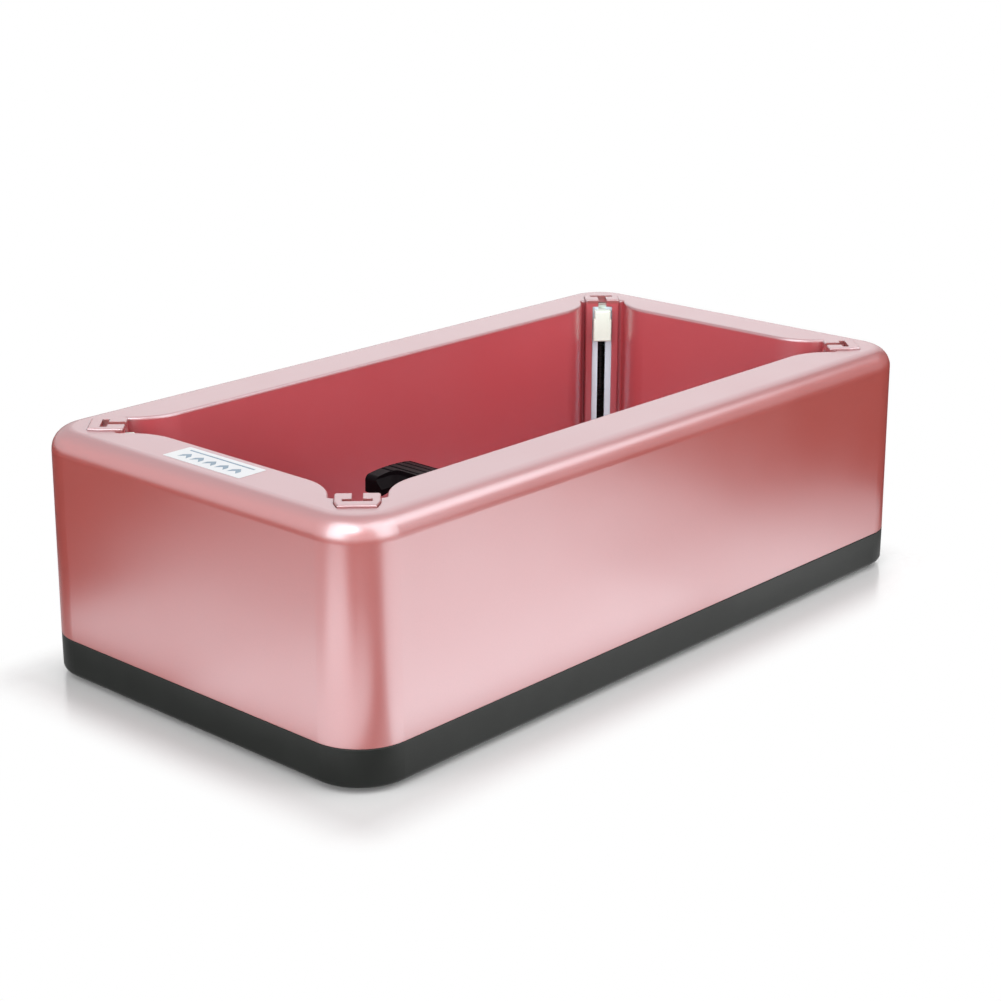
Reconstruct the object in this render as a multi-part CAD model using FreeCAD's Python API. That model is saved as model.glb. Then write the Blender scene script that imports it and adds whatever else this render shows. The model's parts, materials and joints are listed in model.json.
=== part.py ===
"""Foot-operated shoe cover dispenser.

A double-walled box stands on a shallow tray. T-shaped clips of the covers hang in a guide at each
corner of its pit, where a sprung slider pushes them up. A pedal in the pit shifts a plate under the
floor, whose keyholes hold the four sliders down for loading and let them go.

Frame in millimetres: X along the length with the toe end at -X, Z up, the origin on the floor below
the middle. Corner pieces are drawn in a local frame: x runs inward from the sharp corner of the plan
along the diagonal, y across it.
"""
import FreeCAD, Part
import math
import os
from FreeCAD import Placement, Rotation, Vector

# Housing
length = 400.0
width = 213.0
height = 117.5
split_height = 20.5
ground_gap = 2.3
corner_radius = 25.0
draft_inset = 1.0
top_round = 10.0
shell_wall = 2.5
pit_wall = 2.2
rim_width = 33.0
lip_round = 1.3
lip_steps = 3

# Corner necks of the pit
neck_half = 12.0
neck_end = 41.8
neck_flare = 30.0
neck_corner = 2.0

# Floor panel of the pit
floor_thick = 3.0
floor_top = 24.5
floor_margin = 10.0
pad_half = 12.0
pad_end = 20.8

# Tray
tray_floor = 2.2
tray_wall = 3.0
tray_round = 2.6
lip_thick = 1.5
lip_rise = 3.0
lip_root = 5.0
shadow_gap = 0.6
joint_clearance = 0.25

# Screws that join tray, floor and shell
screw_radius = 1.5
screw_head_radius = 3.0
screw_head_height = 2.2
housing_screw_length = 29.0
column_screw_length = 11.0
screw_clearance = 0.2
head_seat = 6.0
boss_radius = 4.0
boss_height = 20.0
boss_sink = 0.5
tower_radius = 4.5
screw_rows = (-115.0, 0.0, 115.0)

# Guide column
column_face = 44.8
column_half = 9.5
column_shoulder = 34.2
column_back = 28.5
column_back_half = 8.0
column_edge_round = 1.2
column_rise = 1.0
column_top_round = 0.8
column_clearance = 0.2
top_plate = 3.0
column_front_wall = 1.6
column_rear_wall = 2.8
column_side_wall = 1.9
front_opening_half = 5.5
ear_end = 21.3
ear_half = 5.0
ear_height = 10.0
ear_round = 2.5
column_screw_at = 24.8

# T-slot in the column's top plate
notch_half = 2.3
notch_end = 33.8
crossbar_half = 6.2
crossbar_depth = 3.3

# Rail
rail_clearance = 0.2
rail_front_wall = 3.0
rail_rear_wall = 1.9
rail_side_wall = 1.3
rail_slot_half = 2.15
liner_thick = 0.8

# Slider
lift_travel = 57.5
slide_clearance = 0.3
slider_foot_height = 15.7
grip_half = 5.0
grip_top_half = 4.4
grip_depth = 5.0
grip_height = 17.5
grip_shoulder = 12.3
grip_overhang = 3.3
grip_round = 0.8
stem_clearance = 0.25
tail_radius = 1.3
tail_barb = 1.2
tail_groove = 1.8
groove_room = 0.2
tail_groove_radius = 0.75
tail_hole_clearance = 0.5

# Lift spring
lift_wire = 0.6
lift_turns = 23
lift_lead = 1.6

# Pedal
pedal_width = 40.0
pad_apex_x = -57.0
pad_apex_z = 84.7
pad_radius = 95.0
pad_thick = 8.0
pad_toe = 16.0
pad_heel = 16.0
pad_end_round = 3.0
pad_edge_round = 1.0
rib_pitch = 4.6
rib_margin = 10.8
rib_groove = 0.75
toe_notch_half = 12.5
toe_notch_length = 13.5
toe_notch_slope = 4.0
toe_notch_drop = 2.3
toe_notch_round = 4.0
arm_width = 14.0
arm_depth = 9.0
arm_web = 4.0
arm_flange = 1.8
arm_solid = 9.0
gusset_length = 12.0
gusset_depth = 14.0
pivot_x = 14.0
pivot_z = 15.0
hub_radius = 6.0
hub_half = 10.0
lug_radius = 2.0
lug_neck = 2.4
lug_half = 4.0
lug_reach = 7.8
slot_clearance = 0.3
arm_slot = 40.0
arm_side_room = 1.5

# Pedal hinge
pin_radius = 2.5
pin_half = 20.5
running_clearance = 0.04
bush_wall = 1.0
bush_flange_radius = 4.6
bush_flange = 1.2
bearing_inner = 11.5
bearing_width = 6.0
bearing_length = 17.0
clip_thick = 0.8
clip_radius = 4.2
clip_groove = 0.6
clip_room = 0.1

# Release plate
plate_thick = 1.4
plate_height = 6.5
plate_bar_half = 9.0
plate_arm_half = 8.0
plate_overhang = 9.0
plate_stroke = 3.0
plate_slide_gap = 0.1
keyhole_slot_half = 1.0
keyhole_radius = 1.9
stud_radius = 2.0
stud_pad_radius = 5.0
stud_rows = (-90.0, 110.0)
stud_rise = 1.8
washer_radius = 4.5
washer_thick = 0.8
spring_tab_x = 60.0
spring_tab_half = 5.0
spring_tab_height = 12.0

# Return spring
return_wire = 0.8
return_radius = 2.9
return_turns = 7
return_length = 22.6
return_lead = 1.8
spring_post_thick = 3.0
spring_post_side = 6.0
tunnel_room = 1.0
spring_peg_radius = 1.6
spring_peg_length = 8.0

# Feet
foot_radius = 7.0
foot_recess = 1.0
foot_bevel = 0.8
foot_inset = 36.0

# Depth by which joined solids reach into each other, and cutters past a face
overlap = 1.0

diagonal = math.sqrt(2.0)
up = Vector(0, 0, 1)
floor_bottom = floor_top - floor_thick
tray_top = ground_gap + tray_floor
plate_top = plate_height + plate_thick
column_top = height + column_rise
rail_front = column_face - column_front_wall - rail_clearance
rail_back = column_back + column_rear_wall + rail_clearance
rail_half = column_half - column_side_wall - rail_clearance
rail_top = height - top_plate - rail_clearance
channel_front = rail_front - rail_front_wall
channel_back = rail_back + rail_rear_wall
channel_half = rail_half - rail_side_wall
channel_centre = (channel_front + channel_back) / 2
slider_top = height - top_plate - slide_clearance
slider_foot = slider_top - slider_foot_height
screw_line = width / 2 - rim_width + pit_wall + boss_radius - boss_sink
bush_radius = pin_radius + bush_wall
lift_radius = (channel_front - channel_back) / 2 - slide_clearance - lift_wire / 2
return_axis_z = plate_height + spring_tab_height - spring_tab_half

corners = {
    "toe_left": (-1, -1, 45.0),
    "heel_left": (1, -1, 135.0),
    "heel_right": (1, 1, 225.0),
    "toe_right": (-1, 1, 315.0),
}


def corner_frame(name):
    """Placement of a corner's local frame."""
    side_x, side_y, turn = corners[name]
    return Placement(Vector(side_x * length / 2, side_y * width / 2, 0), Rotation(up, turn))


def at_corner(shape, name):
    """Copy of a shape drawn in the local frame, put in its corner."""
    placed = shape.copy()
    placed.Placement = corner_frame(name)
    return placed


def at_all_corners(shape):
    """One copy of a local shape in every corner."""
    return [at_corner(shape, name) for name in corners]


def prism(points, bottom, top):
    """Upright prism on a polygon of (x, y) points."""
    ring = [Vector(x, y, bottom) for x, y in points]
    return Part.Face(Part.makePolygon(ring + ring[:1])).extrude(up * (top - bottom))


def side_prism(points, half):
    """Prism along Y, from -half to half, on a polygon of (x, z) points."""
    ring = [Vector(x, -half, z) for x, z in points]
    return Part.Face(Part.makePolygon(ring + ring[:1])).extrude(Vector(0, 2 * half, 0))


def block(x0, x1, half, bottom, top):
    """Box from x0 to x1, symmetric about y = 0."""
    return Part.makeBox(x1 - x0, 2 * half, top - bottom, Vector(x0, -half, bottom))


def rod(radius, bottom, top, x=0.0, y=0.0):
    """Upright cylinder."""
    return Part.makeCylinder(radius, top - bottom, Vector(x, y, bottom), up)


def cross_rod(radius, start, end, x, z):
    """Cylinder along Y."""
    return Part.makeCylinder(radius, end - start, Vector(x, start, z), Vector(0, 1, 0))


def rounded_rectangle(inset, z):
    """Plan outline of the housing, moved inward by inset, as a wire at height z."""
    a = length / 2 - inset
    b = width / 2 - inset
    r = corner_radius - inset
    s = r * (1 - math.sqrt(0.5))
    edges = []
    for sx, sy in ((1, 1), (-1, 1), (-1, -1), (1, -1)):
        on_end = Vector(sx * a, sy * (b - r), z)
        on_side = Vector(sx * (a - r), sy * b, z)
        middle = Vector(sx * (a - s), sy * (b - s), z)
        first, last = (on_end, on_side) if sx * sy > 0 else (on_side, on_end)
        if edges:
            edges.append(Part.LineSegment(edges[-1].Vertexes[-1].Point, first).toShape())
        edges.append(Part.Arc(first, middle, last).toShape())
    edges.append(Part.LineSegment(edges[-1].Vertexes[-1].Point, edges[0].Vertexes[0].Point).toShape())
    return Part.Wire(edges)


def slab(wire, top):
    """Upright solid from a flat wire to height top."""
    return Part.Face(wire).extrude(up * (top - wire.BoundBox.ZMin))


def housing_body(inset, bottom, top):
    """Drafted outer body of the shell between two heights, moved inward by inset."""
    def lean(z):
        return inset + draft_inset * (z - split_height) / (height - split_height)
    wires = [rounded_rectangle(lean(bottom), bottom), rounded_rectangle(lean(top), top)]
    return Part.makeLoft(wires, True, True)


def edges_at(shape, z, inside):
    """Edges that lie flat at height z and whose middle passes the test inside(x, y)."""
    found = []
    for edge in shape.Edges:
        box = edge.BoundBox
        if abs(box.ZMin - z) < 1e-4 and abs(box.ZMax - z) < 1e-4:
            middle = edge.valueAt((edge.FirstParameter + edge.LastParameter) / 2)
            if inside(middle.x, middle.y):
                found.append(edge)
    return found


def upright_edges(shape, x):
    """Upright edges of a shape at x."""
    found = []
    for edge in shape.Edges:
        box = edge.BoundBox
        if abs(box.XMin - x) < 1e-4 and abs(box.XMax - x) < 1e-4 and box.YLength < 1e-4:
            found.append(edge)
    return found


def pit_outline(offset, z):
    """Plan of the pit with its four necks, moved outward by offset, as a wire at height z."""
    half = neck_half + offset
    flare = neck_flare - offset
    tight = neck_corner + offset
    end = neck_end - offset
    vertex = (rim_width - offset) * diagonal + half
    tangent = flare * math.tan(math.pi / 8)
    centre = Vector(vertex - tangent, half + flare, 0)
    bend = Vector(math.cos(3 * math.pi / 8), -math.sin(3 * math.pi / 8), 0) * flare
    nook = tight * (1 - math.sqrt(0.5))
    arrive = [
        Vector(vertex + tangent / diagonal, half + tangent / diagonal, 0),
        centre + bend,
        Vector(vertex - tangent, half, 0),
        Vector(end + tight, half, 0),
        Vector(end + nook, half - nook, 0),
        Vector(end, half - tight, 0),
    ]
    leave = [Vector(p.x, -p.y, 0) for p in reversed(arrive)]
    edges = []
    for name in ("heel_right", "toe_right", "toe_left", "heel_left"):
        frame = corner_frame(name)
        p = [frame.multVec(q) + up * z for q in arrive + leave]
        if edges:
            edges.append(Part.LineSegment(edges[-1].Vertexes[-1].Point, p[0]).toShape())
        edges.append(Part.Arc(p[0], p[1], p[2]).toShape())
        edges.append(Part.LineSegment(p[2], p[3]).toShape())
        edges.append(Part.Arc(p[3], p[4], p[5]).toShape())
        edges.append(Part.LineSegment(p[5], p[6]).toShape())
        edges.append(Part.Arc(p[6], p[7], p[8]).toShape())
        edges.append(Part.LineSegment(p[8], p[9]).toShape())
        edges.append(Part.Arc(p[9], p[10], p[11]).toShape())
    edges.append(Part.LineSegment(edges[-1].Vertexes[-1].Point, edges[0].Vertexes[0].Point).toShape())
    return Part.Wire(edges)


def pit_space():
    """Hollow of the pit, widened at the rim by the round of its lip."""
    wires = [pit_outline(0, split_height)]
    for step in range(lip_steps + 1):
        angle = math.pi / 2 * step / lip_steps
        level = height - lip_round * (1 - math.sin(angle))
        wires.append(pit_outline(lip_round * (1 - math.cos(angle)), level))
    wires.append(pit_outline(lip_round, height + lip_round))
    return Part.makeLoft(wires, True, True)


def column_outline(clearance):
    """Plan of a guide column, grown by clearance."""
    c = clearance
    right = [
        (column_face + c, column_half + c),
        (column_shoulder - c / 4, column_half + c),
        (column_back - c, column_back_half + c),
    ]
    return right + [(x, -y) for x, y in reversed(right)]


def screw(head_bottom, shank_length, x, y):
    """Pan-head screw with its head below."""
    shank = rod(screw_radius, head_bottom, head_bottom + screw_head_height + shank_length, x, y)
    head = rod(screw_head_radius, head_bottom, head_bottom + screw_head_height, x, y)
    return head.fuse(shank).removeSplitter()


def screw_places():
    """Plan positions of the housing screws."""
    return [(x, side * screw_line) for x in screw_rows for side in (-1, 1)]


def make_upper_shell():
    body = housing_body(0, split_height, height)
    body = body.makeFillet(top_round, edges_at(body, height, lambda x, y: True))
    body = body.cut(pit_space())
    under = height - shell_wall
    hollow = housing_body(shell_wall, split_height, under)
    hollow = hollow.makeFillet(top_round - shell_wall, edges_at(hollow, under, lambda x, y: True))
    hollow = hollow.cut(slab(pit_outline(pit_wall, floor_top), height))
    body = body.cut(hollow)
    pocket = prism(column_outline(column_clearance), split_height, height)
    body = body.cut(Part.Compound(at_all_corners(pocket)))
    for x, y in screw_places():
        body = body.fuse(rod(boss_radius, floor_top, floor_top + boss_height, x, y))
    for x, y in screw_places():
        bore = screw_radius + running_clearance
        body = body.cut(rod(bore, floor_top, floor_top + boss_height - shell_wall, x, y))
    return body


def make_base_tray():
    low = slab(rounded_rectangle(0, ground_gap), split_height)
    low = low.makeFillet(tray_round, edges_at(low, ground_gap, lambda x, y: True))
    low = low.makeChamfer(shadow_gap, edges_at(low, split_height, lambda x, y: True))
    body = low.cut(slab(rounded_rectangle(tray_wall, tray_top), split_height))
    lip_out = shell_wall + joint_clearance
    lip = slab(rounded_rectangle(lip_out, split_height - lip_root), split_height + lip_rise)
    lip = lip.cut(slab(rounded_rectangle(lip_out + lip_thick, split_height - lip_root), height))
    body = body.fuse(lip)
    for x, y in screw_places():
        body = body.fuse(rod(tower_radius, tray_top - tray_floor / 2, floor_bottom, x, y))
    inner, outer = bearing_inner, bearing_inner + bearing_width
    for side in (-1, 1):
        x0 = pivot_x - bearing_length / 2
        y0 = inner if side > 0 else -outer
        cheek_height = floor_bottom - tray_top
        cheek = Part.makeBox(bearing_length, bearing_width, cheek_height, Vector(x0, y0, tray_top))
        body = body.fuse(cheek)
    body = body.cut(cross_rod(bush_radius + running_clearance, -outer, outer, pivot_x, pivot_z))
    for x in stud_rows:
        body = body.fuse(rod(stud_pad_radius, tray_top, plate_height - plate_slide_gap, x))
        body = body.fuse(rod(stud_radius, tray_top, plate_top + stud_rise, x))
    post_x = spring_tab_x + plate_thick + return_length
    post_top = plate_height + spring_tab_height
    post_end = post_x + spring_post_thick
    stilts = block(post_x, post_end, plate_bar_half + spring_post_side, tray_top, post_top)
    tunnel = block(post_x, post_end, plate_bar_half + tunnel_room, tray_top, plate_top + tunnel_room)
    body = body.fuse(stilts.cut(tunnel))
    peg_base = Vector(post_x, 0, return_axis_z)
    body = body.fuse(Part.makeCylinder(spring_peg_radius, spring_peg_length, peg_base, Vector(-1, 0, 0)))
    for x, y in screw_places():
        body = body.cut(rod(screw_radius + screw_clearance, ground_gap, floor_bottom, x, y))
        body = body.cut(rod(screw_head_radius + screw_clearance, ground_gap, head_seat, x, y))
    for x, y in foot_places():
        body = body.cut(rod(foot_radius + screw_clearance, ground_gap, ground_gap + foot_recess, x, y))
    return body.removeSplitter()


def make_pit_floor():
    panel = slab(pit_outline(floor_margin, floor_bottom), floor_top)
    pad = prism(
        [(pad_end, -pad_half), (column_face, -pad_half), (column_face, pad_half), (pad_end, pad_half)],
        floor_bottom,
        floor_top,
    )
    for one in at_all_corners(pad):
        panel = panel.fuse(one)
    panel = panel.removeSplitter()
    holes = rod(tail_radius + tail_hole_clearance, floor_bottom, floor_top, channel_centre)
    holes = holes.fuse(rod(screw_radius + screw_clearance, floor_bottom, floor_top, column_screw_at))
    panel = panel.cut(Part.Compound(at_all_corners(holes)))
    for x, y in screw_places():
        panel = panel.cut(rod(screw_radius + screw_clearance, floor_bottom, floor_top, x, y))
    slot_half = arm_width / 2 + arm_side_room
    slot = block(pivot_x - arm_slot, pivot_x + slot_clearance, slot_half, floor_bottom, floor_top)
    return panel.cut(slot)


def make_guide_column():
    post = prism(column_outline(0), floor_top, column_top)
    face_edges = upright_edges(post, column_face)
    post = post.makeFillet(column_edge_round, face_edges)
    post = post.makeFillet(column_top_round, edges_at(post, column_top, lambda x, y: True))
    under = height - top_plate
    cavity_half = column_half - column_side_wall
    cavity_back = column_back + column_rear_wall
    cavity_front = column_face - column_front_wall
    cavity = block(cavity_back, cavity_front, cavity_half, floor_top, under)
    opening = block(cavity_front - overlap, column_face, front_opening_half, floor_top, under)
    post = post.cut(cavity.fuse(opening))
    notch = block(notch_end, column_face, notch_half, under, column_top)
    crossbar = block(notch_end, notch_end + crossbar_depth, crossbar_half, under, column_top)
    post = post.cut(notch.fuse(crossbar))
    ear = block(ear_end, column_back + column_rear_wall / 2, ear_half, floor_top, floor_top + ear_height)
    ear = ear.makeFillet(ear_round, upright_edges(ear, ear_end))
    post = post.fuse(ear)
    bore_top = floor_top + ear_height - overlap
    bore = rod(screw_radius + running_clearance, floor_top, bore_top, column_screw_at)
    return post.cut(bore).removeSplitter()


def make_guide_rail():
    bar = block(rail_back, rail_front, rail_half, floor_top, rail_top)
    channel = block(channel_back - liner_thick, channel_front, channel_half, floor_top, rail_top)
    slot = block(channel_front - overlap, rail_front, rail_slot_half, floor_top, rail_top)
    return bar.cut(channel.fuse(slot))


def make_rail_liner():
    return block(channel_back - liner_thick, channel_back, channel_half, floor_top, rail_top)


def make_lift_slider():
    back = channel_back + slide_clearance
    front = channel_front - slide_clearance
    foot = block(back, front, channel_half - slide_clearance, slider_foot, slider_top)
    face = rail_front + slide_clearance
    grip_bottom = slider_foot - grip_overhang
    grip_top = grip_bottom + grip_height
    shoulder = grip_bottom + grip_shoulder
    ring = [
        (-grip_half, grip_bottom),
        (grip_half, grip_bottom),
        (grip_half, shoulder),
        (grip_top_half, shoulder + grip_half - grip_top_half),
        (grip_top_half, grip_top),
        (-grip_top_half, grip_top),
        (-grip_top_half, shoulder + grip_half - grip_top_half),
        (-grip_half, shoulder),
    ]
    points = [Vector(face, y, z) for y, z in ring]
    grip = Part.Face(Part.makePolygon(points + points[:1])).extrude(Vector(grip_depth, 0, 0))
    outer = face + grip_depth
    grip = grip.makeFillet(
        grip_round,
        [e for e in grip.Edges if abs(e.BoundBox.XMin - outer) < 1e-4],
    )
    stem = block(front - overlap, face + overlap, rail_slot_half - stem_clearance, slider_foot, grip_top)
    groove_bottom = plate_height - groove_room + lift_travel
    tail = rod(tail_radius, groove_bottom - tail_barb, slider_foot + overlap, channel_centre)
    groove = rod(2 * tail_radius, groove_bottom, groove_bottom + tail_groove, channel_centre)
    groove = groove.cut(rod(tail_groove_radius, 0, height, channel_centre))
    return foot.fuse([stem, grip, tail.cut(groove)]).removeSplitter()


def arc_between(start, apex, end):
    """Circular arc that leaves start towards apex and comes from it at end."""
    middle = (start + end) * 0.5
    half = (end - start).Length / 2
    slope = math.acos(min(1.0, half / (apex - start).Length))
    crown = middle + (apex - middle).normalize() * (half * math.tan(slope / 2))
    return Part.Arc(start, crown, end).toShape()


def biarc(start, start_dir, end, end_dir):
    """Two tangent arcs between two points with given directions."""
    step = end - start
    along = step.dot(start_dir + end_dir)
    spread = 2 * (1 - start_dir.dot(end_dir))
    reach = (math.sqrt(along ** 2 + spread * step.dot(step)) - along) / spread
    first = start + start_dir * reach
    last = end - end_dir * reach
    joint = (first + last) * 0.5
    return [arc_between(start, first, joint), arc_between(joint, last, end)]


def make_spring(name, radius, wire, turns, free_length, lead):
    """Coil spring along Z from the origin, with its wire ends standing square on both seats."""
    rise = (free_length - 2 * (wire + lead)) / turns

    def on_coil(turn):
        angle = 2 * math.pi * turn
        return Vector(radius * math.cos(angle), radius * math.sin(angle), wire + lead + rise * turn)

    def along_coil(turn):
        angle = 2 * math.pi * turn
        ring = 2 * math.pi * radius
        return Vector(-ring * math.sin(angle), ring * math.cos(angle), rise).normalize()

    def on_seat(turn, z):
        angle = 2 * math.pi * turn
        return Vector(radius * math.cos(angle), radius * math.sin(angle), z)

    foot, head = -0.25, turns + 0.25
    edges = [Part.LineSegment(on_seat(foot, 0), on_seat(foot, wire)).toShape()]
    edges += biarc(on_seat(foot, wire), up, on_coil(0), along_coil(0))
    for half in range(2 * turns):
        a, b = half / 2, (half + 1) / 2
        edges += biarc(on_coil(a), along_coil(a), on_coil(b), along_coil(b))
    high = free_length - wire
    edges += biarc(on_coil(turns), along_coil(turns), on_seat(head, high), up)
    edges.append(Part.LineSegment(on_seat(head, high), on_seat(head, free_length)).toShape())
    path = Part.Wire(edges)
    section = Part.Wire(Part.Circle(on_seat(foot, 0), up, wire / 2).toShape())
    pipe = Part.BRepOffsetAPI.MakePipeShell(path)
    pipe.add(section)
    pipe.build()
    pipe.makeSolid()
    print(name, "least gap between turns", round(least_gap(path, radius) - wire, 2))
    return pipe.shape()


def least_gap(path, radius):
    """Least distance between stretches of a path that lie over half a turn apart."""
    apart = math.pi * radius
    count = int(path.Length / radius * 6)
    step = path.Length / (count - 1)
    skip = int(apart / step)
    points = path.discretize(Number=count)
    reach = 4 * skip
    return min(
        (points[i] - points[j]).Length
        for i in range(count)
        for j in range(i + skip, min(count, i + reach))
    )


def pad_at(angle, radius):
    """Point (x, z) on the pedal pad's arc, angle from its apex towards the heel end."""
    return (
        pad_apex_x + radius * math.sin(angle),
        pad_apex_z - pad_radius + radius * math.cos(angle),
    )


def pad_z(x, radius):
    """Height of the pad's arc of a given radius at x."""
    return pad_apex_z - pad_radius + math.sqrt(radius ** 2 - (x - pad_apex_x) ** 2)


def make_pedal_pad():
    toe, heel = pad_apex_x - pad_toe, pad_apex_x + pad_heel
    inner = pad_radius - pad_thick
    y = -pedal_width / 2

    def point(x, z):
        return Vector(x, y, z)

    corners_of_pad = [
        point(toe, pad_z(toe, pad_radius)),
        point(heel, pad_z(heel, pad_radius)),
        point(heel, pad_z(heel, inner)),
        point(toe, pad_z(toe, inner)),
    ]
    crown = point(pad_apex_x, pad_apex_z)
    vault = point(pad_apex_x, pad_apex_z - pad_thick)
    ring = [
        Part.Arc(corners_of_pad[0], crown, corners_of_pad[1]).toShape(),
        Part.LineSegment(corners_of_pad[1], corners_of_pad[2]).toShape(),
        Part.Arc(corners_of_pad[2], vault, corners_of_pad[3]).toShape(),
        Part.LineSegment(corners_of_pad[3], corners_of_pad[0]).toShape(),
    ]
    pad = Part.Face(Part.Wire(ring)).extrude(Vector(0, pedal_width, 0))
    waist = pad_apex_z - pad_thick
    ends = [e for e in pad.Edges if e.BoundBox.ZMin > waist and e.BoundBox.YLength > pad_thick]
    pad = pad.makeFillet(pad_end_round, ends)
    sides = [e for e in pad.Edges if e.BoundBox.ZMin > waist and e.BoundBox.YLength < 1e-4]
    pad = pad.makeFillet(pad_edge_round, sides)
    for angle in rib_angles():
        x, z = pad_at(angle, pad_radius + rib_groove / 3)
        pad = pad.cut(cross_rod(rib_groove, -pedal_width, pedal_width, x, z))
    brink = pad_apex_z - toe_notch_drop
    bed = brink - toe_notch_slope
    deep = toe_notch_half - toe_notch_slope
    lower = notch_plan(toe - overlap, toe + toe_notch_length - toe_notch_slope, deep, bed)
    upper = notch_plan(toe - overlap, toe + toe_notch_length, toe_notch_half, brink)
    notch = slab(notch_plan(toe - overlap, toe + toe_notch_length - toe_notch_slope, deep, 0), bed)
    notch = notch.fuse([Part.makeLoft([lower, upper], True, True), slab(upper, pad_apex_z + overlap)])
    return pad.cut(notch)


def rib_angles():
    """Angles of the grip grooves across the pad."""
    toe_angle = -math.asin(pad_toe / pad_radius)
    heel_angle = math.asin(pad_heel / pad_radius)
    first = toe_angle + rib_margin / pad_radius
    gaps = int((heel_angle - first) * pad_radius / rib_pitch)
    return [first + i * rib_pitch / pad_radius for i in range(gaps + 1)]


def notch_plan(start, end, half, z):
    """Plan of the toe notch, open at start and with round corners at end, as a wire."""
    r = toe_notch_round
    s = r * (1 - math.sqrt(0.5))
    a, b = Vector(start, -half, z), Vector(end - r, -half, z)
    c, d = Vector(end - s, s - half, z), Vector(end, r - half, z)
    e, f = Vector(end, half - r, z), Vector(end - s, half - s, z)
    g, h = Vector(end - r, half, z), Vector(start, half, z)
    return Part.Wire([
        Part.LineSegment(a, b).toShape(),
        Part.Arc(b, c, d).toShape(),
        Part.LineSegment(d, e).toShape(),
        Part.Arc(e, f, g).toShape(),
        Part.LineSegment(g, h).toShape(),
        Part.LineSegment(h, a).toShape(),
    ])


def make_pedal():
    pivot = Vector(pivot_x, 0, pivot_z)
    crown = Vector(pad_apex_x, 0, pad_apex_z - pad_thick / 2)
    reach = (crown - pivot).Length
    tilt = math.degrees(math.atan2(crown.z - pivot.z, crown.x - pivot.x))
    beam = block(0, reach, arm_width / 2, -arm_depth / 2, arm_depth / 2)
    pocket_half = arm_depth / 2 - arm_flange
    pocket = block(hub_radius + arm_solid, reach - arm_solid, arm_width / 2, -pocket_half, pocket_half)
    pocket = pocket.cut(block(0, reach, arm_web / 2, -arm_depth, arm_depth))
    beam = beam.cut(pocket)
    beam.Placement = Placement(pivot, Rotation(Vector(0, 1, 0), -tilt))
    above = pad_apex_z - pad_radius
    dome = cross_rod(pad_radius - pad_thick / 2, -pedal_width, pedal_width, pad_apex_x, above)
    sky = block(-length, length, pedal_width, above + pad_radius / 2, 2 * height)
    beam = beam.cut(sky.cut(dome))
    inner = pad_radius - pad_thick
    brace_x = pad_apex_x + gusset_length
    gussets = []
    for side in (-1, 1):
        y = side * (arm_width / 2 - arm_flange / 2)
        ring = [
            (pad_apex_x, pad_z(pad_apex_x, inner) + overlap),
            (brace_x, pad_z(brace_x, inner) + overlap),
            (brace_x, pad_apex_z - pad_thick - gusset_depth),
        ]
        gusset = side_prism(ring, arm_flange / 2)
        gusset.translate(Vector(0, y, 0))
        gussets.append(gusset)
    hub = cross_rod(hub_radius, -hub_half, hub_half, pivot_x, pivot_z)
    lug_z = pivot_z - lug_reach
    lug = cross_rod(lug_radius, -lug_half, lug_half, pivot_x, lug_z)
    neck = block(pivot_x - lug_neck / 2, pivot_x + lug_neck / 2, lug_half, lug_z, pivot_z)
    lever = make_pedal_pad().fuse([beam, hub, neck, lug] + gussets)
    bore = cross_rod(pin_radius + running_clearance, -hub_half, hub_half, pivot_x, pivot_z)
    return lever.cut(bore).removeSplitter()


def make_pedal_pin():
    pin = cross_rod(pin_radius, -pin_half, pin_half, pivot_x, pivot_z)
    for start in clip_places():
        ring = cross_rod(pin_radius + overlap, start, start + clip_thick + clip_room, pivot_x, pivot_z)
        core = cross_rod(pin_radius - clip_groove, start, start + clip_thick + clip_room, pivot_x, pivot_z)
        pin = pin.cut(ring.cut(core))
    return pin


def clip_places():
    """Start along Y of both retaining clips, outside the bearing cheeks."""
    outer = bearing_inner + bearing_width + clip_room
    return (outer, -outer - clip_thick - clip_room)


def make_pin_clips():
    clips = []
    for start in clip_places():
        y = start + clip_room / 2
        disc = cross_rod(clip_radius, y, y + clip_thick, pivot_x, pivot_z)
        bore = pin_radius - clip_groove + running_clearance
        disc = disc.cut(cross_rod(bore, y, y + clip_thick, pivot_x, pivot_z))
        mouth = Part.makeBox(2 * bore, clip_thick, 2 * clip_radius, Vector(pivot_x - bore, y, pivot_z))
        clips.append(disc.cut(mouth))
    return Part.Compound(clips)


def make_pedal_bushes():
    bushes = []
    for side in (-1, 1):
        inner, outer = bearing_inner, bearing_inner + bearing_width
        sleeve = cross_rod(bush_radius, inner - bush_flange, outer, pivot_x, pivot_z)
        flange = cross_rod(bush_flange_radius, inner - bush_flange, inner, pivot_x, pivot_z)
        bore = cross_rod(pin_radius + running_clearance, inner - bush_flange, outer, pivot_x, pivot_z)
        bush = sleeve.fuse(flange).cut(bore).removeSplitter()
        if side < 0:
            bush = bush.mirror(Vector(0, 0, 0), Vector(0, 1, 0))
        bushes.append(bush)
    return Part.Compound(bushes)


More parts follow.
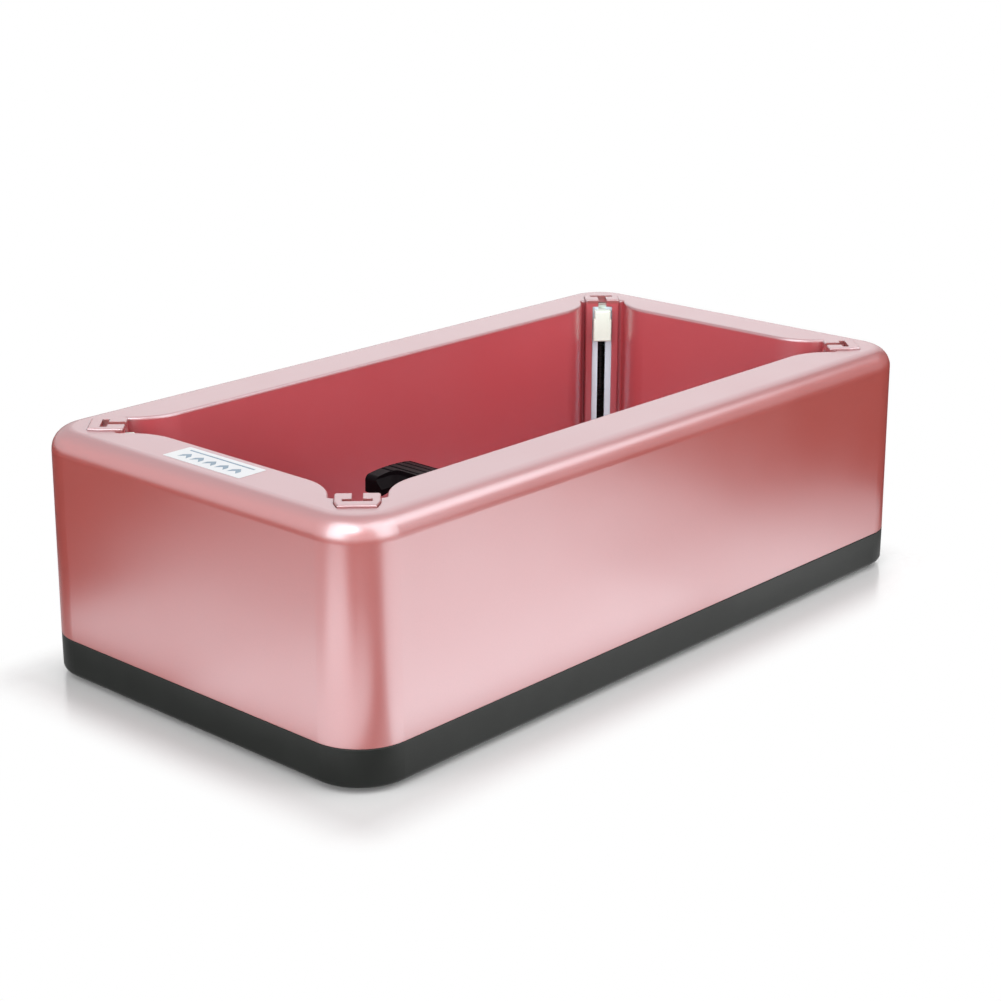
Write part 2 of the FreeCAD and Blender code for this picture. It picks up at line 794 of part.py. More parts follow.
def make_release_plate():
    tail_x = length / 2 - channel_centre / diagonal
    tail_y = width / 2 - channel_centre / diagonal
    plate = block(-tail_x, tail_x, plate_bar_half, plate_height, plate_top)
    for side in (-1, 1):
        x = side * tail_x
        reach = tail_y + plate_overhang
        arm = block(x - plate_arm_half, x + plate_arm_half, reach, plate_height, plate_top)
        plate = plate.fuse(arm)
        for y in (-tail_y, tail_y):
            plate = plate.cut(rod(keyhole_radius, plate_height, plate_top, x - plate_stroke, y))
            slot = block(x - plate_stroke, x, keyhole_slot_half, plate_height, plate_top)
            slot = slot.fuse(rod(keyhole_slot_half, plate_height, plate_top, x))
            slot.translate(Vector(0, y, 0))
            plate = plate.cut(slot)
    lug_gap = lug_radius + slot_clearance
    plate = plate.cut(
        block(pivot_x - lug_gap, pivot_x + lug_gap, lug_half + slot_clearance, plate_height, plate_top)
    )
    for x in stud_rows:
        guide = stud_radius + slot_clearance
        slot = block(x - plate_stroke - slot_clearance, x, guide, plate_height, plate_top)
        slot = slot.fuse(rod(guide, plate_height, plate_top, x - plate_stroke - slot_clearance))
        plate = plate.cut(slot.fuse(rod(guide, plate_height, plate_top, x)))
    tab_top = plate_height + spring_tab_height
    tab = block(spring_tab_x, spring_tab_x + plate_thick, spring_tab_half, plate_height, tab_top)
    return plate.fuse(tab).removeSplitter()


def make_plate_washers():
    washers = []
    for x in stud_rows:
        bottom = plate_top + plate_slide_gap
        ring = rod(washer_radius, bottom, bottom + washer_thick, x)
        washers.append(ring.cut(rod(stud_radius + running_clearance, bottom, bottom + washer_thick, x)))
    return Part.Compound(washers)


def foot_places():
    """Plan positions of the rubber feet."""
    x, y = length / 2 - foot_inset, width / 2 - foot_inset
    return [(sx * x, sy * y) for sx in (-1, 1) for sy in (-1, 1)]


def make_rubber_feet():
    feet = []
    for x, y in foot_places():
        foot = rod(foot_radius, 0, ground_gap + foot_recess, x, y)
        feet.append(foot.makeChamfer(foot_bevel, edges_at(foot, 0, lambda px, py: True)))
    return Part.Compound(feet)


column = make_guide_column()
rail = make_guide_rail()
liner = make_rail_liner()
slider = make_lift_slider()
lift_spring = make_spring(
    "lift spring", lift_radius, lift_wire, lift_turns, slider_foot - floor_top, lift_lead
)
lift_spring.translate(Vector(channel_centre, 0, floor_top))
return_spring = make_spring(
    "return spring", return_radius, return_wire, return_turns, return_length, return_lead
)
return_spring.rotate(Vector(0, 0, 0), Vector(0, 1, 0), 90)
return_spring.translate(Vector(spring_tab_x + plate_thick, 0, return_axis_z))

nodes = {
    "upper_shell": make_upper_shell(),
    "base_tray": make_base_tray(),
    "pit_floor": make_pit_floor(),
    "pedal": make_pedal(),
    "pedal_pin": make_pedal_pin(),
    "pedal_bushes": make_pedal_bushes(),
    "pin_clips": make_pin_clips(),
    "release_plate": make_release_plate(),
    "plate_washers": make_plate_washers(),
    "return_spring": return_spring,
    "housing_screws": Part.Compound(
        [screw(head_seat - screw_head_height, housing_screw_length, x, y) for x, y in screw_places()]
    ),
    "column_screws": Part.Compound(
        at_all_corners(screw(floor_bottom - screw_head_height, column_screw_length, column_screw_at, 0))
    ),
    "rubber_feet": make_rubber_feet(),
}
for corner in corners:
    nodes["guide_column_" + corner] = at_corner(column, corner)
    nodes["guide_rail_" + corner] = at_corner(rail, corner)
    nodes["rail_liner_" + corner] = at_corner(liner, corner)
    nodes["lift_slider_" + corner] = at_corner(slider, corner)
    spring = lift_spring.copy()
    spring.Placement = corner_frame(corner).multiply(spring.Placement)
    nodes["lift_spring_" + corner] = spring

os.makedirs("parts", exist_ok=True)
for name, shape in nodes.items():
    shape.exportStep("parts/" + name + ".step")
    print(name, len(shape.Solids), shape.isValid(), round(shape.Volume / 1000, 2))
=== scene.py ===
"""Looks of the foot-operated shoe cover dispenser.

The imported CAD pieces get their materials, the five coil springs and the label are built here, and a
pale floor, soft lights and the photograph's camera are set up around them. Lengths are in metres.
"""
import bmesh
import bpy
import json
import math
from mathutils import Matrix, Vector


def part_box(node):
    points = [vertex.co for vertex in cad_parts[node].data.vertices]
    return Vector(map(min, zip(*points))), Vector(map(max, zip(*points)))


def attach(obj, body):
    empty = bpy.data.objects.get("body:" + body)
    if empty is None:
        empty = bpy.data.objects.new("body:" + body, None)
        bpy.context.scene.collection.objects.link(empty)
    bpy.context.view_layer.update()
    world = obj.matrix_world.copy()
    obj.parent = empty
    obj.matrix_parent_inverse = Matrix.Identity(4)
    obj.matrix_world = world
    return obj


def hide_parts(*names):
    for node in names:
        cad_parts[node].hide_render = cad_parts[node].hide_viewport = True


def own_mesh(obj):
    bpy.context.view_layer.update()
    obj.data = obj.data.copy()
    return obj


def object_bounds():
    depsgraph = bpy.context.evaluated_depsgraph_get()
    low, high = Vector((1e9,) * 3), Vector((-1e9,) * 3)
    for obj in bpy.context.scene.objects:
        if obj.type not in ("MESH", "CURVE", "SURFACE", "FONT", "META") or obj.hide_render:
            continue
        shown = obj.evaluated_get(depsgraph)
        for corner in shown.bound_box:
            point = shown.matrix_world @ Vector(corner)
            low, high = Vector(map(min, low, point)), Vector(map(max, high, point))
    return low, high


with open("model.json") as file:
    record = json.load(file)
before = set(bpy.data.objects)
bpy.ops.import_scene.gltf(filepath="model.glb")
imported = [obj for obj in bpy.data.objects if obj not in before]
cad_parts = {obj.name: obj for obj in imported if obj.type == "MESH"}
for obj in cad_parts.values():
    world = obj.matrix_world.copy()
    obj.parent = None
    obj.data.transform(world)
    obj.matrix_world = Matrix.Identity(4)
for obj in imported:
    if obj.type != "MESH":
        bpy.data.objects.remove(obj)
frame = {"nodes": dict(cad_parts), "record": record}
cad_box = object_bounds()
nodes = frame["nodes"]
corner_names = ("toe_left", "toe_right", "heel_left", "heel_right")
LENGTHWISE = Vector((1, 0, 0))
UP = Vector((0, 0, 1))

# Camera of the photograph, fitted to the housing's edges
image_side = 1001
sensor_width = 36.0
focal_pixels = 2109.831
camera_place = Vector((-0.731371, -0.662666, 0.383918))
camera_yaw = math.radians(47.843)
camera_pitch = math.radians(18.309)
camera_roll = math.radians(0.137)
camera_near = 0.01

# Colours, linear
PEARL_PINK = (0.330, 0.043, 0.031)
PEARL_FLAKE = (0.370, 0.055, 0.043)
# Painted shade: duller pink on the rim's top, standing in for the weaker light that falls there
RIM_PAINTED_SHADE_PINK = (0.280, 0.046, 0.040)
PEARL_SHEEN = (0.780, 0.930, 1.000)
# Painted shade: more saturated red in the pit, standing in for its shade and the pink light bouncing there
PIT_PAINTED_SHADE_PINK = (0.452, 0.052, 0.061)
LINER_BLACK = (0.010, 0.009, 0.009)
TRAY_BLACK = (0.009, 0.010, 0.009)
PEDAL_BLACK = (0.006, 0.004, 0.005)
RAIL_WHITE = (0.660, 0.810, 0.890)
SLIDER_CREAM = (0.740, 0.850, 0.760)
TAIL_BLACK = (0.012, 0.011, 0.011)
SPRING_BLACK = (0.020, 0.020, 0.020)
ZINC = (0.560, 0.570, 0.580)
GROUND_STEEL = (0.600, 0.600, 0.610)
CLIP_STEEL = (0.300, 0.300, 0.310)
NYLON = (0.760, 0.750, 0.700)
FOOT_BLACK = (0.028, 0.028, 0.028)
FLOOR_WHITE = (0.640, 0.640, 0.640)
SKY_WHITE = (1.0, 1.0, 1.0)
LABEL_WHITE = (0.515, 0.525, 0.545)
LABEL_BLUE = (0.090, 0.160, 0.230)

# Range that holds most values of a noise
noise_low = 0.3
noise_high = 0.7

# Pearl plastic: flakes in the colour, clouds in the gloss, a fine grain, and the radius of its eased edges
flake_size = 0.0003
flake_detail = 3.0
gloss_cloud = 0.05
pearl_roughness = (0.30, 0.34)
pearl_ior = 3.2
coat_weight = 0.2
coat_roughness = 0.2
pearl_grain = 0.0004
pearl_relief = 0.000003
edge_ease = 0.0006

# Block of space that holds the pit, and the band in which the pit's painted shade meets the rim
pit_limit = Vector((0.183, 0.090, 0.1152))
pit_band = 0.002

# Heights between which the sides' pink turns into the rim top's duller pink, which is painted shade
rim_start = 0.1130
rim_end = 0.1173

# Sliders: mottled block above the top of the tail pin
slider_grain = 0.0009
slider_shade = 0.97
slider_roughness = (0.34, 0.42)
slider_relief = 0.000008
tail_top = 0.0950
joint_band = 0.0002

# Moulded plastics: clouds in the colour, and how far the grain moves the roughness either way
mould_cloud = 0.012
mould_detail = 4.0
grain_detail = 3.0
grain_gloss = 0.05

# Metals: streaks, the shares by which they darken and lighten, and how far they move the roughness
streak_width = 0.0004
streak_detail = 3.0
streak_dark = 0.8
streak_light = 1.15
streak_smoother = 0.06
streak_rougher = 0.08
streak_relief = 0.000008

# Scales that draw the streaks of a metal out across the object, along it or not at all
streak_draw = 0.06
ACROSS = (1.0, streak_draw, 1.0)
ALONG = (streak_draw, 1.0, 1.0)
EVEN = (1.0, 1.0, 1.0)

# Springs
lift_turns = 23
lift_wire = 0.0006
return_turns = 7
return_wire = 0.0008
coil_steps = 28
coil_sides = 8

# Label on the rim of the toe end
label_centre = Vector((-0.1788, 0.0018))
label_width = 0.0155
label_length = 0.0495
label_corner = 0.0008
label_corner_steps = 4
label_thick = 0.00012
print_thick = 0.00003
paper_fibre = 0.0008
paper_detail = 4.0
paper_shade = 0.985
paper_roughness = (0.29, 0.31)
mark_count = 5
mark_pitch = 0.0080
mark_size = 0.0054
mark_stroke = 0.0032
rule_offset = 0.0040
rule_stroke = 0.0011

# Floor: for the camera it turns from its own colour to full white over white_reach from the object's
# block, which is shifted so that this happens sooner on the far sides
floor_side = 16.0
floor_roughness = 0.2
shadow_centre = Vector((-0.008, -0.008, 0.0))
white_reach = 0.030

# Painted reflection of the floor in mirrors: white beside the object, dim farther out, past the toe and
# heel ends
mirror_near = 0.02
mirror_far = 0.20
mirror_dim = 0.10
toe_start = -0.24
toe_end = -0.14
toe_dim = 0.1
heel_start = 0.15
heel_end = 0.28
heel_dim = 0.1

# Surroundings: strength of their light on dull surfaces, and the side that mirrors see dim, with the
# cosines of the angles from it at which that starts and ends
sky_light = 0.15
dim_side = Vector((0.977, -0.172, 0.122))
dim_start = 0.68
dim_end = 0.92
dim_share = 0.20

# Place that most lamps face, the one that the heel lamp faces, and the size of the fill lamps
lamp_target = (0, 0, 0.1)
heel_target = (-0.1, -0.1, 0.1)
fill_width = 1.6
fill_height = 0.8

# Glowing cards on the floor: their height, and the edges that they share
card_lift = 0.002
toe_split = -0.322
toe_left_edge = 0.04
toe_right_edge = -0.24
corner_edge = -0.02
side_start = -0.170
side_split = -0.235
heel_split = 0.08


def new_material(name):
    """New material with its node tree, its shader and the socket of the object's coordinates."""
    material = bpy.data.materials.new(name)
    material.use_nodes = True
    tree = material.node_tree
    shader = tree.nodes["Principled BSDF"]
    place = tree.nodes.new("ShaderNodeTexCoord")
    return material, tree, shader, place.outputs["Object"]


def noise(tree, place, size, detail=2.0):
    """Noise with features of a given size."""
    node = tree.nodes.new("ShaderNodeTexNoise")
    node.inputs["Scale"].default_value = 1.0 / size
    node.inputs["Detail"].default_value = detail
    tree.links.new(place, node.inputs["Vector"])
    return node.outputs["Fac"]


def spread(tree, value, low, high):
    """Map the middle of a noise to the range from low to high."""
    node = tree.nodes.new("ShaderNodeMapRange")
    node.inputs["From Min"].default_value = noise_low
    node.inputs["From Max"].default_value = noise_high
    node.inputs["To Min"].default_value = low
    node.inputs["To Max"].default_value = high
    tree.links.new(value, node.inputs["Value"])
    return node.outputs["Result"]


def mix_colours(tree, factor, first, second):
    """Colour that goes from first to second with a factor; each is a colour or a socket."""
    node = tree.nodes.new("ShaderNodeMix")
    node.data_type = "RGBA"
    tree.links.new(factor, node.inputs["Factor"])
    for name, colour in (("A", first), ("B", second)):
        socket = next(i for i in node.inputs if i.name == name and i.type == "RGBA")
        if isinstance(colour, tuple):
            socket.default_value = (*colour, 1.0)
        else:
            tree.links.new(colour, socket)
    return next(o for o in node.outputs if o.type == "RGBA")


def coordinate(tree, place, axis):
    """Coordinate of a place along one axis."""
    node = tree.nodes.new("ShaderNodeSeparateXYZ")
    tree.links.new(place, node.inputs["Vector"])
    return node.outputs[axis]


def bump(tree, shader, height, depth, edge=0.0):
    """Relief of a given depth on the whole shader, with edges eased to a radius."""
    node = tree.nodes.new("ShaderNodeBump")
    node.inputs["Distance"].default_value = depth
    tree.links.new(height, node.inputs["Height"])
    tree.links.new(node.outputs["Normal"], shader.inputs["Normal"])
    if edge:
        ease = tree.nodes.new("ShaderNodeBevel")
        ease.inputs["Radius"].default_value = edge
        tree.links.new(ease.outputs["Normal"], node.inputs["Normal"])


def outside(tree, place, limit, centre=(0.0, 0.0, 0.0)):
    """Distance of a place from the block that reaches to limit on either side of its centre."""
    reach = place
    steps = (
        ("SUBTRACT", centre),
        ("ABSOLUTE", None),
        ("SUBTRACT", limit),
        ("MAXIMUM", (0.0, 0.0, 0.0)),
        ("LENGTH", None),
    )
    for operation, value in steps:
        node = tree.nodes.new("ShaderNodeVectorMath")
        node.operation = operation
        tree.links.new(reach, node.inputs[0])
        if value is not None:
            node.inputs[1].default_value = value
        reach = node.outputs["Value" if operation == "LENGTH" else "Vector"]
    return reach


def fade(tree, value, start, end, start_value, end_value):
    """Value that goes smoothly from start_value to end_value as another goes from start to end."""
    node = tree.nodes.new("ShaderNodeMapRange")
    node.interpolation_type = "SMOOTHSTEP"
    node.inputs["From Min"].default_value = start
    node.inputs["From Max"].default_value = end
    node.inputs["To Min"].default_value = start_value
    node.inputs["To Max"].default_value = end_value
    tree.links.new(value, node.inputs["Value"])
    return node.outputs["Result"]


def combine(tree, operation, first, second):
    """Result of a math operation on two values."""
    node = tree.nodes.new("ShaderNodeMath")
    node.operation = operation
    tree.links.new(first, node.inputs[0])
    tree.links.new(second, node.inputs[1])
    return node.outputs[0]


def shade(colour, share):
    """Colour made lighter or darker by a share."""
    return tuple(min(1.0, c * share) for c in colour)


def pearl_plastic():
    """Pink plastic with pearl flakes and a cool sheen, with painted shade on the rim and in the pit."""
    material, tree, shader, place = new_material("pearl_pink_plastic")
    pit_shade_share = fade(tree, outside(tree, place, pit_limit), 0.0, pit_band, 1.0, 0.0)
    rim_shade_share = fade(tree, coordinate(tree, place, "Z"), rim_start, rim_end, 0.0, 1.0)
    flakes = spread(tree, noise(tree, place, flake_size, flake_detail), 0.0, 1.0)
    colour = mix_colours(tree, flakes, PEARL_PINK, PEARL_FLAKE)
    # Painted shade: the rim's top gets a duller pink for the light that falls on it
    colour = mix_colours(tree, rim_shade_share, colour, RIM_PAINTED_SHADE_PINK)
    # Painted shade: the pit's walls and floor get a more saturated red for the shade and bounce light
    # inside
    colour = mix_colours(tree, pit_shade_share, colour, PIT_PAINTED_SHADE_PINK)
    tree.links.new(colour, shader.inputs["Base Color"])
    gloss = spread(tree, noise(tree, place, gloss_cloud), *pearl_roughness)
    tree.links.new(gloss, shader.inputs["Roughness"])
    shader.inputs["IOR"].default_value = pearl_ior
    shader.inputs["Specular Tint"].default_value = (*PEARL_SHEEN, 1.0)
    shader.inputs["Coat Weight"].default_value = coat_weight
    shader.inputs["Coat Roughness"].default_value = coat_roughness
    bump(tree, shader, noise(tree, place, pearl_grain), pearl_relief, edge_ease)
    return material


def slider_plastic():
    """Cream moulded block over a black tail pin."""
    material, tree, shader, place = new_material("slider_cream_plastic")
    mottle = spread(tree, noise(tree, place, slider_grain), 0.0, 1.0)
    cream = mix_colours(tree, mottle, shade(SLIDER_CREAM, slider_shade), SLIDER_CREAM)
    height = coordinate(tree, place, "Z")
    in_block = fade(tree, height, tail_top - joint_band, tail_top, 0.0, 1.0)
    colour = mix_colours(tree, in_block, TAIL_BLACK, cream)
    tree.links.new(colour, shader.inputs["Base Color"])
    tree.links.new(spread(tree, mottle, *slider_roughness), shader.inputs["Roughness"])
    bump(tree, shader, mottle, slider_relief)
    return material


def moulded_plastic(name, colour, roughness, grain, relief, variation=0.12, specular=0.5):
    """Plain moulded plastic with a fine surface grain."""
    material, tree, shader, place = new_material(name)
    cloud = spread(tree, noise(tree, place, mould_cloud, mould_detail), 0.0, 1.0)
    tint = mix_colours(tree, cloud, shade(colour, 1 - variation), shade(colour, 1 + variation))
    tree.links.new(tint, shader.inputs["Base Color"])
    speckle = noise(tree, place, grain, grain_detail)
    gloss = spread(tree, speckle, roughness - grain_gloss, roughness + grain_gloss)
    tree.links.new(gloss, shader.inputs["Roughness"])
    shader.inputs["Specular IOR Level"].default_value = specular
    bump(tree, shader, speckle, relief)
    return material


def metal(name, colour, roughness, stretch):
    """Drawn or rolled metal, with its streaks scaled by stretch."""
    material, tree, shader, place = new_material(name)
    lines = tree.nodes.new("ShaderNodeMapping")
    lines.inputs["Scale"].default_value = stretch
    tree.links.new(place, lines.inputs["Vector"])
    streaks = noise(tree, lines.outputs["Vector"], streak_width, streak_detail)
    share = spread(tree, streaks, 0.0, 1.0)
    tint = mix_colours(tree, share, shade(colour, streak_dark), shade(colour, streak_light))
    tree.links.new(tint, shader.inputs["Base Color"])
    gloss = spread(tree, streaks, roughness - streak_smoother, roughness + streak_rougher)
    tree.links.new(gloss, shader.inputs["Roughness"])
    shader.inputs["Metallic"].default_value = 1.0
    bump(tree, shader, streaks, streak_relief)
    return material


materials = {
    "shell_pink": pearl_plastic(),
    "tray_black": moulded_plastic(
        "grained_black_plastic", TRAY_BLACK, roughness=0.42, grain=0.0005, relief=0.000020, specular=0.28),
    "pedal_black": moulded_plastic(
        "pedal_black_plastic", PEDAL_BLACK, roughness=0.36, grain=0.0008, relief=0.000010, specular=0.03),
    "liner_black": moulded_plastic(
        "liner_black_plastic", LINER_BLACK, roughness=0.45, grain=0.0008, relief=0.000008, specular=0.2),
    "rail_white": moulded_plastic(
        "rail_white_plastic", RAIL_WHITE, roughness=0.35, grain=0.0009, relief=0.000006, variation=0.04),
    "slider_cream": slider_plastic(),
    "spring_black": metal("blackened_wire", SPRING_BLACK, roughness=0.32, stretch=EVEN),
    "pin_steel": metal("ground_steel", GROUND_STEEL, roughness=0.22, stretch=ACROSS),
    "clip_steel": metal("spring_steel", CLIP_STEEL, roughness=0.30, stretch=EVEN),
    "plate_steel": metal("galvanised_sheet", ZINC, roughness=0.38, stretch=ALONG),
    "screw_steel": metal("zinc_plate", ZINC, roughness=0.28, stretch=EVEN),
    "bush_plastic": moulded_plastic(
        "natural_nylon", NYLON, roughness=0.45, grain=0.0009, relief=0.000008, variation=0.04),
    "foot_rubber": moulded_plastic(
        "black_rubber", FOOT_BLACK, roughness=0.70, grain=0.0006, relief=0.000025),
}
for part in frame["record"]["subparts"]:
    piece = nodes[part["node"]]
    for slot in piece.material_slots:
        slot.material = materials[part["material_slot"]]


def linked(mesh, name):
    """Object in the scene, made from a bmesh."""
    data = bpy.data.meshes.new(name)
    mesh.to_mesh(data)
    mesh.free()
    thing = bpy.data.objects.new(name, data)
    bpy.context.collection.objects.link(thing)
    return thing


def coil(name, base, axis, radius, wire, turns, free_length):
    """Coil spring along axis from base, with its wire capped at both ends."""
    turn_axis = UP.rotation_difference(axis).to_matrix()
    rise = free_length - wire
    rings = []
    steps = turns * coil_steps
    mesh = bmesh.new()
    for step in range(steps + 1):
        share = step / steps
        angle = 2 * math.pi * turns * share
        outward = Vector((math.cos(angle), math.sin(angle), 0))
        middle = outward * radius + Vector((0, 0, wire / 2 + rise * share))
        ring = []
        for side in range(coil_sides):
            lean = 2 * math.pi * side / coil_sides
            point = middle + (outward * math.cos(lean) + Vector((0, 0, math.sin(lean)))) * wire / 2
            ring.append(mesh.verts.new(base + turn_axis @ point))
        rings.append(ring)
    for low, high in zip(rings, rings[1:]):
        for side in range(coil_sides):
            after = (side + 1) % coil_sides
            mesh.faces.new((low[side], high[side], high[after], low[after]))
    mesh.faces.new(rings[0])
    mesh.faces.new(reversed(rings[-1]))
    bmesh.ops.recalc_face_normals(mesh, faces=mesh.faces)
    for face in mesh.faces:
        face.smooth = True
    return linked(mesh, name)


def add_spring(node, axis, wire, turns):
    """Coil that stands for a spring node, attached to the housing in place of it."""
    low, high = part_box(node)
    middle = (low + high) / 2
    free_length = abs((high - low).dot(axis))
    across = (high - low) - axis * free_length
    radius = max(across) / 2 - wire / 2
    base = middle - axis * free_length / 2
    spring = coil("coil_" + node, base, axis, radius, wire, turns, free_length)
    spring.data.materials.append(materials["spring_black"])
    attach(spring, "housing")
    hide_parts(node)
    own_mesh(spring)


for corner in corner_names:
    add_spring("lift_spring_" + corner, UP, lift_wire, lift_turns)
add_spring("return_spring", LENGTHWISE, return_wire, return_turns)


def add_plate(mesh, outline, bottom, top, material_index):
    """Add a flat plate on an outline of (x, y) points to a bmesh."""
    low = [mesh.verts.new((x, y, bottom)) for x, y in outline]
    high = [mesh.verts.new((x, y, top)) for x, y in outline]
    faces = [mesh.faces.new(high), mesh.faces.new(list(reversed(low)))]
    for i in range(len(outline)):
        j = (i + 1) % len(outline)
        faces.append(mesh.faces.new((low[i], low[j], high[j], high[i])))
    for face in faces:
        face.material_index = material_index


def paper_outline():
    """Outline of the label, a rectangle with round corners about the origin."""
    middle_x = label_width / 2 - label_corner
    middle_y = label_length / 2 - label_corner
    points = []
    for sign_x, sign_y, start in ((1, 1, 0), (-1, 1, 90), (-1, -1, 180), (1, -1, 270)):
        for step in range(label_corner_steps + 1):
            angle = math.radians(start + step * 90 / label_corner_steps)
            x = sign_x * middle_x + label_corner * math.cos(angle)
            y = sign_y * middle_y + label_corner * math.sin(angle)
            points.append((x, y))
    return points


def chevron_outline(centre_y):
    """Outline of a chevron that points into the pit."""
    half = mark_size / 2
    tip = half / 2
    front = [(-tip, centre_y - half), (tip, centre_y), (-tip, centre_y + half)]
    back = [(x - mark_stroke, y) for x, y in reversed(front)]
    return front + back


def rule_outline():
    """Outline of the straight rule beside the chevrons."""
    rule_end = label_length / 2 - rule_offset
    start = [(rule_offset, -rule_end), (rule_offset + rule_stroke, -rule_end)]
    return start + [(x, -y) for x, y in reversed(start)]


def label_paper():
    """White paper with faint fibres."""
    material, tree, shader, place = new_material("label_paper")
    fibres = spread(tree, noise(tree, place, paper_fibre, paper_detail), 0.0, 1.0)
    tint = mix_colours(tree, fibres, shade(LABEL_WHITE, paper_shade), LABEL_WHITE)
    tree.links.new(tint, shader.inputs["Base Color"])
    tree.links.new(spread(tree, fibres, *paper_roughness), shader.inputs["Roughness"])
    return material


def add_label():
    """Plain sticker with chevrons and a rule, on the rim of the toe end."""
    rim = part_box("upper_shell")[1].z
    face = rim + label_thick
    mesh = bmesh.new()
    add_plate(mesh, paper_outline(), rim, face, material_index=0)
    for mark in range(mark_count):
        centre = (mark - (mark_count - 1) / 2) * mark_pitch
        add_plate(mesh, chevron_outline(centre), face, face + print_thick, material_index=1)
    add_plate(mesh, rule_outline(), face, face + print_thick, material_index=1)
    bmesh.ops.translate(mesh, verts=mesh.verts, vec=(*label_centre, 0))
    bmesh.ops.recalc_face_normals(mesh, faces=mesh.faces)
    label = linked(mesh, "rim_label")
    label.data.materials.append(label_paper())
    ink = moulded_plastic("label_ink", LABEL_BLUE, roughness=0.35, grain=0.0004, relief=0.000002)
    label.data.materials.append(ink)
    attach(label, "housing")


add_label()


def mirrored_rays(tree, rays):
    """1 for rays that come off or through a glossy surface, 0 for others."""
    glossy = rays.outputs["Is Glossy Ray"]
    through = rays.outputs["Is Transmission Ray"]
    return combine(tree, "MAXIMUM", glossy, through)


def floor_in_mirrors(tree, place):
    """Brightness of the floor's glow in mirrors, a painted reflection that shades the object's sides."""
    along = coordinate(tree, place, "X")
    near = fade(tree, outside(tree, place, cad_box[1]), mirror_near, mirror_far, 1.0, mirror_dim)
    past_toe = fade(tree, along, toe_start, toe_end, toe_dim, 1.0)
    past_heel = fade(tree, along, heel_start, heel_end, 1.0, heel_dim)
    return combine(tree, "MULTIPLY", combine(tree, "MULTIPLY", near, past_toe), past_heel)


def white_floor():
    """Floor that the camera sees white, apart from the contact shadow, and that mirrors see glow."""
    material, tree, shader, place = new_material("white_floor")
    shader.inputs["Base Color"].default_value = (*FLOOR_WHITE, 1.0)
    shader.inputs["Roughness"].default_value = floor_roughness
    rays = tree.nodes.new("ShaderNodeLightPath")
    camera_ray = rays.outputs["Is Camera Ray"]
    mirrored = mirrored_rays(tree, rays)
    from_shadow = outside(tree, place, cad_box[1], shadow_centre)
    lit = fade(tree, from_shadow, 0.0, white_reach, 0.0, 1.0)
    share = combine(tree, "MAXIMUM", mirrored, combine(tree, "MULTIPLY", camera_ray, lit))
    in_mirrors = combine(tree, "MULTIPLY", mirrored, floor_in_mirrors(tree, place))
    glow = tree.nodes.new("ShaderNodeEmission")
    tree.links.new(combine(tree, "MAXIMUM", camera_ray, in_mirrors), glow.inputs["Strength"])
    both = tree.nodes.new("ShaderNodeMixShader")
    tree.links.new(share, both.inputs["Fac"])
    tree.links.new(shader.outputs[0], both.inputs[1])
    tree.links.new(glow.outputs[0], both.inputs[2])
    tree.links.new(both.outputs[0], tree.nodes["Material Output"].inputs["Surface"])
    return material


def add_floor():
    """Square floor around the object."""
    half = floor_side / 2
    corners = [(-half, -half, 0), (half, -half, 0), (half, half, 0), (-half, half, 0)]
    data = bpy.data.meshes.new("floor")
    data.from_pydata(corners, [], [(0, 1, 2, 3)])
    data.materials.append(white_floor())
    floor = bpy.data.objects.new("floor", data)
    bpy.context.collection.objects.link(floor)


add_floor()


def add_softbox(name, place, width, height, power, target=lamp_target):
    """Rectangular area lamp at place, facing target."""
    data = bpy.data.lights.new(name, "AREA")
    data.shape = "RECTANGLE"
    data.size = width
    data.size_y = height
    data.energy = power
    lamp = bpy.data.objects.new(name, data)
    aim = (Vector(target) - Vector(place)).to_track_quat("-Z", "Y")
    lamp.matrix_world = Matrix.Translation(place) @ aim.to_matrix().to_4x4()
    bpy.context.collection.objects.link(lamp)
    return lamp


def add_fill(name, place, power):
    """Lamp that lights the object but shows in no mirror."""
    lamp = add_softbox(name, place, fill_width, fill_height, power)
    lamp.visible_glossy = False


def add_glint(name, place, side, power, target=lamp_target):
    """Square lamp that lights no dull surface and makes bright lines on glossy edges."""
    lamp = add_softbox(name, place, side, side, power, target)
    lamp.visible_diffuse = False


def add_card(name, low, high, radiance):
    """Glowing card between two corners on the floor, out of the camera's sight, for the sides to mirror."""
    width = high[0] - low[0]
    depth = high[1] - low[1]
    centre = ((low[0] + high[0]) / 2, (low[1] + high[1]) / 2)
    power = radiance * math.pi * width * depth
    card = add_softbox(name, (*centre, card_lift), width, depth, power, target=(*centre, 1))
    card.visible_camera = False
    card.visible_diffuse = False


add_softbox("rear_softbox", place=(1.2, 0.9, 0.8), width=1.6, height=1.4, power=4.9)
add_softbox("toe_softbox", place=(-1.34, -0.10, 1.22), width=1.2, height=2.4, power=26)
add_softbox("side_softbox", place=(0.23, -1.32, 1.22), width=1.2, height=2.4, power=19)
add_glint("heel_softbox", place=(0.69, -0.57, 0.96), side=0.6, power=2.7, target=heel_target)
add_fill("front_fill", place=(-1.8, -0.95, 0.55), power=22)
add_fill("side_fill", place=(0.47, -0.97, 0.66), power=8)
add_fill("back_fill", place=(1.6, 1.3, 0.55), power=32)
add_glint("glint_softbox", place=(-0.95, -0.60, 1.25), side=0.5, power=5)
add_card("toe_card_near", low=(toe_split, toe_right_edge), high=(-0.228, toe_left_edge), radiance=1.62)
add_card("toe_card_left", low=(toe_split, toe_left_edge), high=(-0.232, 0.16), radiance=1.28)
add_card("toe_card_far", low=(-0.50, corner_edge), high=(toe_split, 0.23), radiance=0.82)
add_card("corner_card", low=(-0.52, -0.19), high=(toe_split, corner_edge), radiance=2.05)
add_card("gap_card", low=(-0.45, -0.55), high=(side_start, toe_right_edge), radiance=0.3)
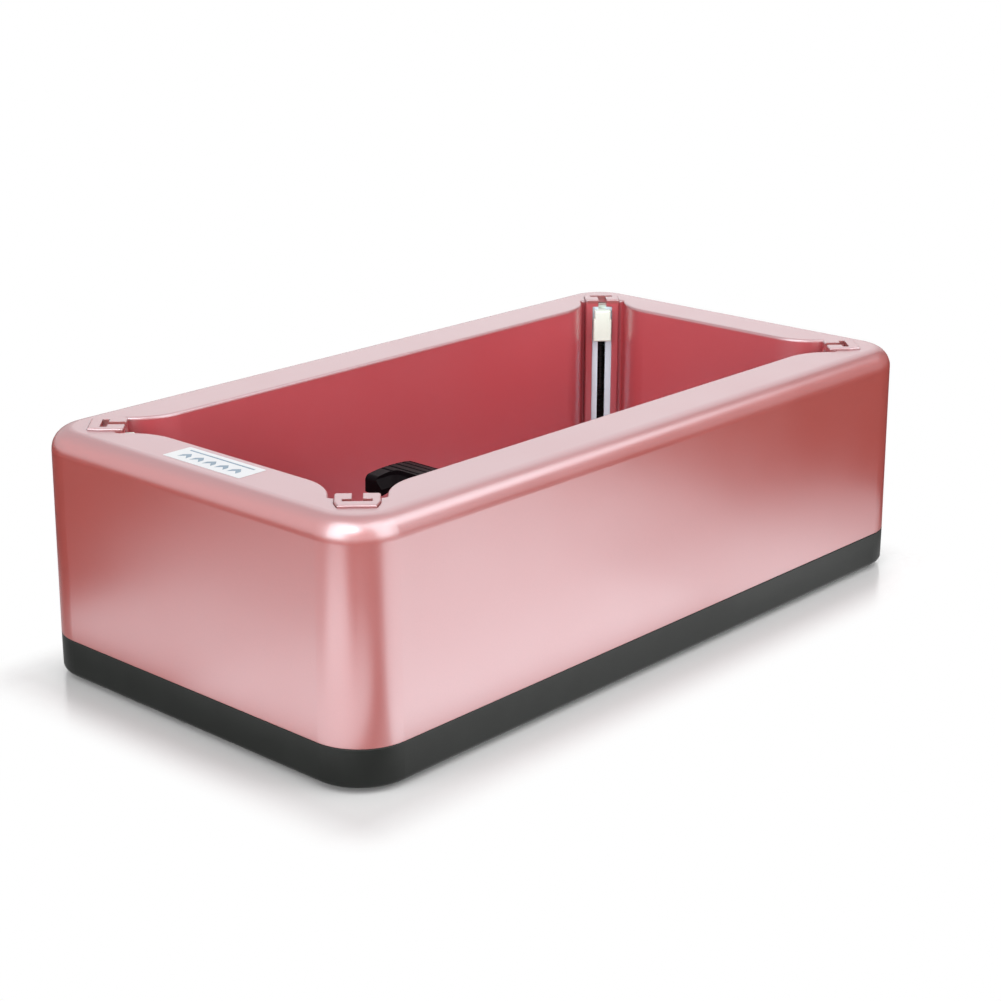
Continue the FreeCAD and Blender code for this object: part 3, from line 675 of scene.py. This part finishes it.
add_card("side_card_near", low=(side_start, side_split), high=(heel_split, -0.14), radiance=1.36)
add_card("side_card_far", low=(side_start, -0.66), high=(0.225, side_split), radiance=1.68)
add_card("side_card_heel", low=(heel_split, -0.215), high=(0.29, -0.125), radiance=0.86)


def add_world():
    """White surroundings with one dim side, of which the object gets only a soft light."""
    world = bpy.data.worlds.new("studio")
    world.use_nodes = True
    tree = world.node_tree
    rays = tree.nodes.new("ShaderNodeLightPath")
    place = tree.nodes.new("ShaderNodeTexCoord")
    sideways = tree.nodes.new("ShaderNodeVectorMath")
    sideways.operation = "DOT_PRODUCT"
    sideways.inputs[1].default_value = dim_side
    tree.links.new(place.outputs["Generated"], sideways.inputs[0])
    dim = fade(tree, sideways.outputs["Value"], dim_start, dim_end, 1.0, dim_share)
    in_mirrors = combine(tree, "MULTIPLY", mirrored_rays(tree, rays), dim)
    seen = combine(tree, "MAXIMUM", rays.outputs["Is Camera Ray"], in_mirrors)
    sky = tree.nodes["Background"]
    sky.inputs["Color"].default_value = (*SKY_WHITE, 1.0)
    tree.links.new(fade(tree, seen, 0.0, 1.0, sky_light, 1.0), sky.inputs["Strength"])
    bpy.context.scene.world = world


add_world()


def add_camera():
    """Camera of the photograph."""
    ahead = Vector((
        math.sin(camera_yaw) * math.cos(camera_pitch),
        math.cos(camera_yaw) * math.cos(camera_pitch),
        -math.sin(camera_pitch),
    ))
    right = ahead.cross(UP).normalized()
    upward = right.cross(ahead)
    turned_right = right * math.cos(camera_roll) + upward * math.sin(camera_roll)
    turned_up = upward * math.cos(camera_roll) - right * math.sin(camera_roll)
    pose = Matrix((turned_right, turned_up, -ahead)).transposed().to_4x4()
    pose.translation = camera_place
    data = bpy.data.cameras.new("photo_camera")
    data.sensor_width = sensor_width
    data.lens = focal_pixels / image_side * sensor_width
    data.clip_start = camera_near
    camera = bpy.data.objects.new("photo_camera", data)
    camera.matrix_world = pose
    bpy.context.collection.objects.link(camera)
    bpy.context.scene.camera = camera


add_camera()
bpy.context.scene.view_settings.view_transform = "Standard"
